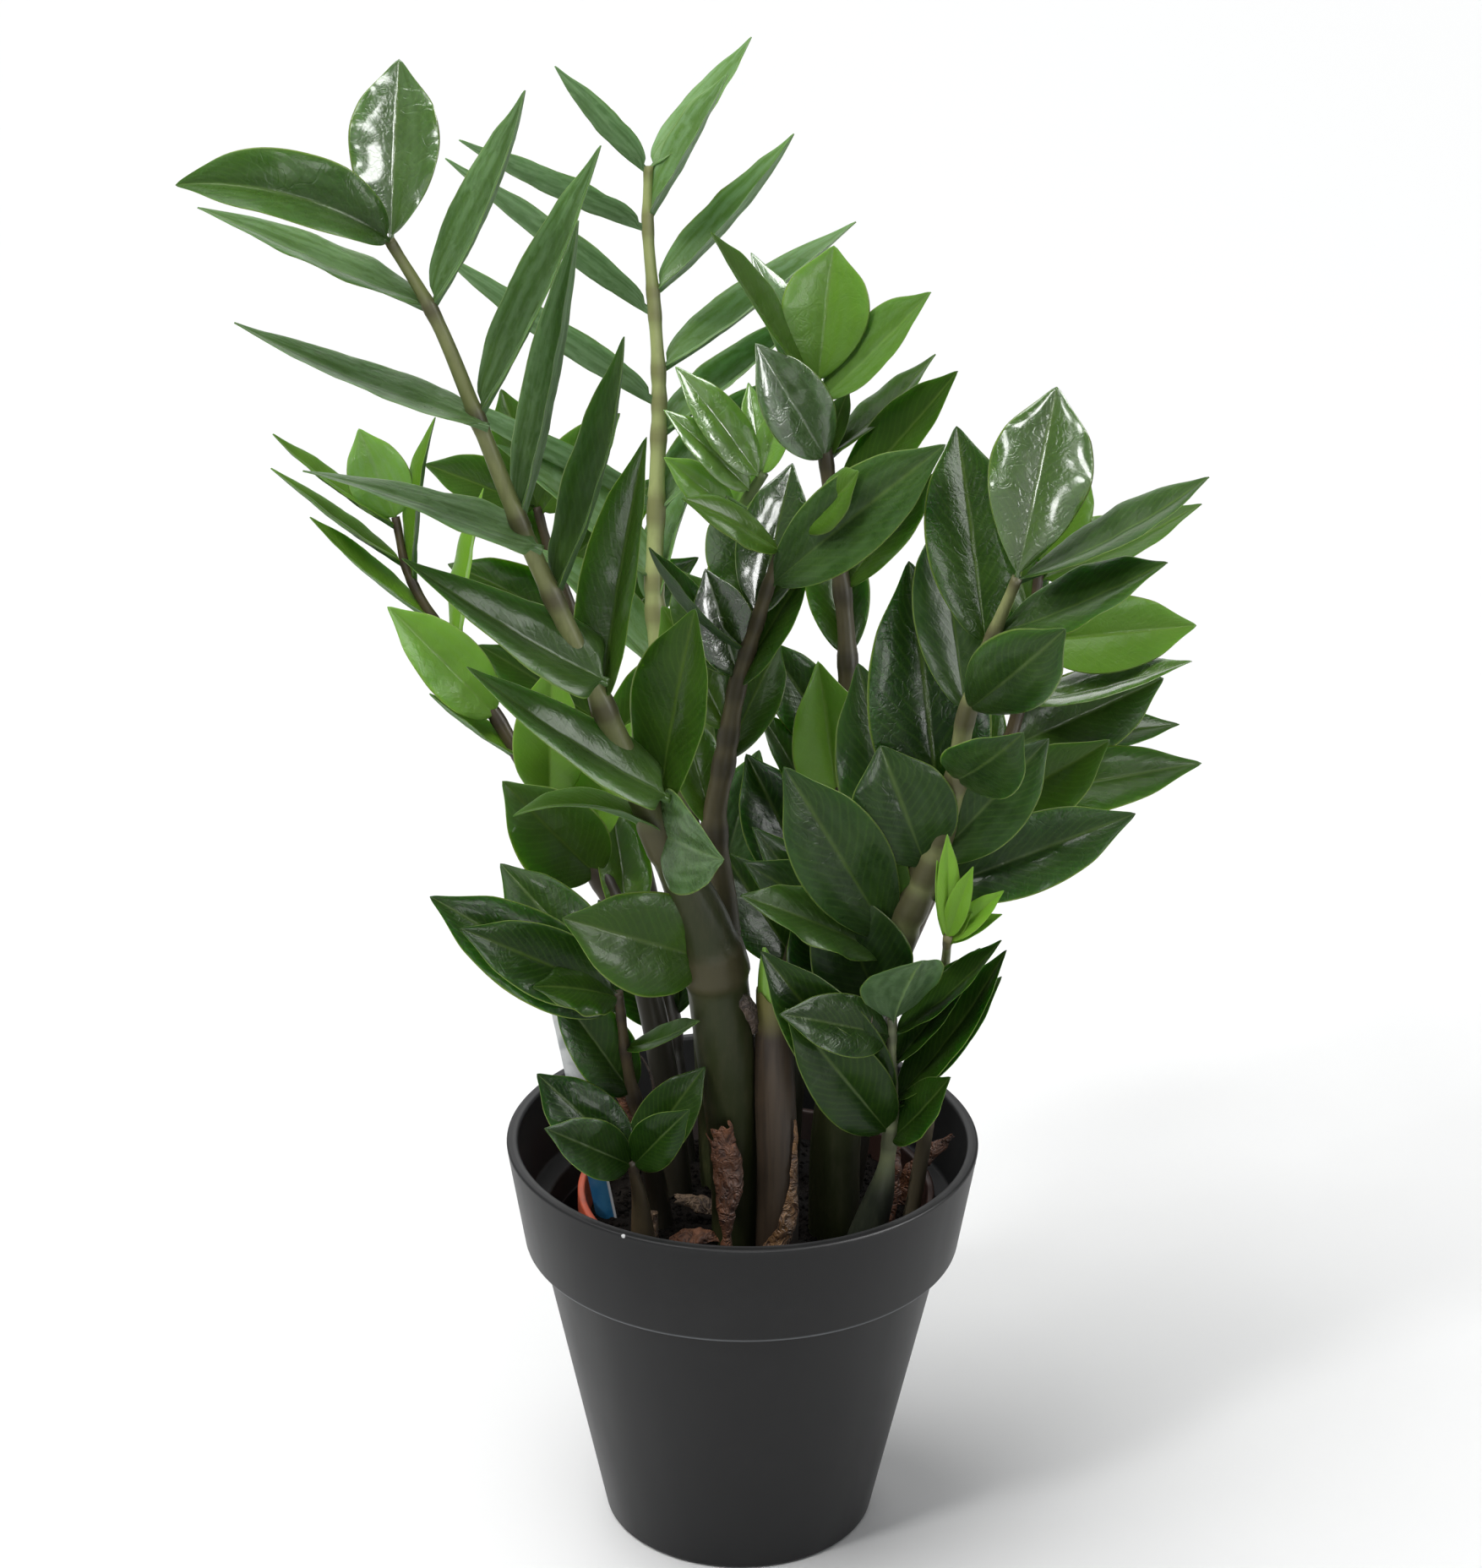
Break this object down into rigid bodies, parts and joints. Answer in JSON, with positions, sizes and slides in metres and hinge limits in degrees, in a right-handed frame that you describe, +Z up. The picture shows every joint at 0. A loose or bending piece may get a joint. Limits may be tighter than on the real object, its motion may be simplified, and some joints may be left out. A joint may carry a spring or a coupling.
{
  "type": "potted zz plant",
  "caption": "Potted ZZ plant with glossy leaflets on arching fronds, in soil in a nursery pot set in a tapered planter with a wide band.",
  "frame": {"origin": "centre of the planter's flat underside", "axes": "+Z up, -Y towards the plant's front, +X to the right as seen from the front"},
  "size_m": [0.3908, 0.2543, 0.6412],
  "materials": {
    "charcoal_plastic": "satin matt charcoal, soft scuffs",
    "terracotta_plastic": "matt terracotta orange",
    "potting_soil": null,
    "label_plastic": "thin blue strip with a milky upper part",
    "leaf": null,
    "young_leaf": "waxy fresh green; leather stands in for living leaf",
    "shoot": "brown papery sheath round a light green tip",
    "dry_scale": "dry, crumpled, rust brown"
  },
  "bodies": {
    "root": {"outer_pot": "charcoal_plastic", "nursery_pot": "terracotta_plastic", "soil": "potting_soil", "plant_label": "label_plastic", "shoot_spear": "shoot", "frond_left_tall": "leaf", "frond_back_tall": "leaf", "frond_centre": "leaf", "frond_centre_back": "leaf", "frond_inner_young": "young_leaf", "frond_right": "leaf", "frond_right_back": "leaf", "frond_front_right": "leaf", "frond_young": "young_leaf", "frond_lower_left": "leaf", "frond_left_back": "leaf", "frond_back_left": "leaf", "frond_low": "leaf", "dry_bract_centre": "dry_scale", "dry_bract_right": "dry_scale", "dry_bract_edge": "dry_scale", "dry_bract_low": "dry_scale", "dry_stub": "dry_scale"}
  },
  "joints": []
}
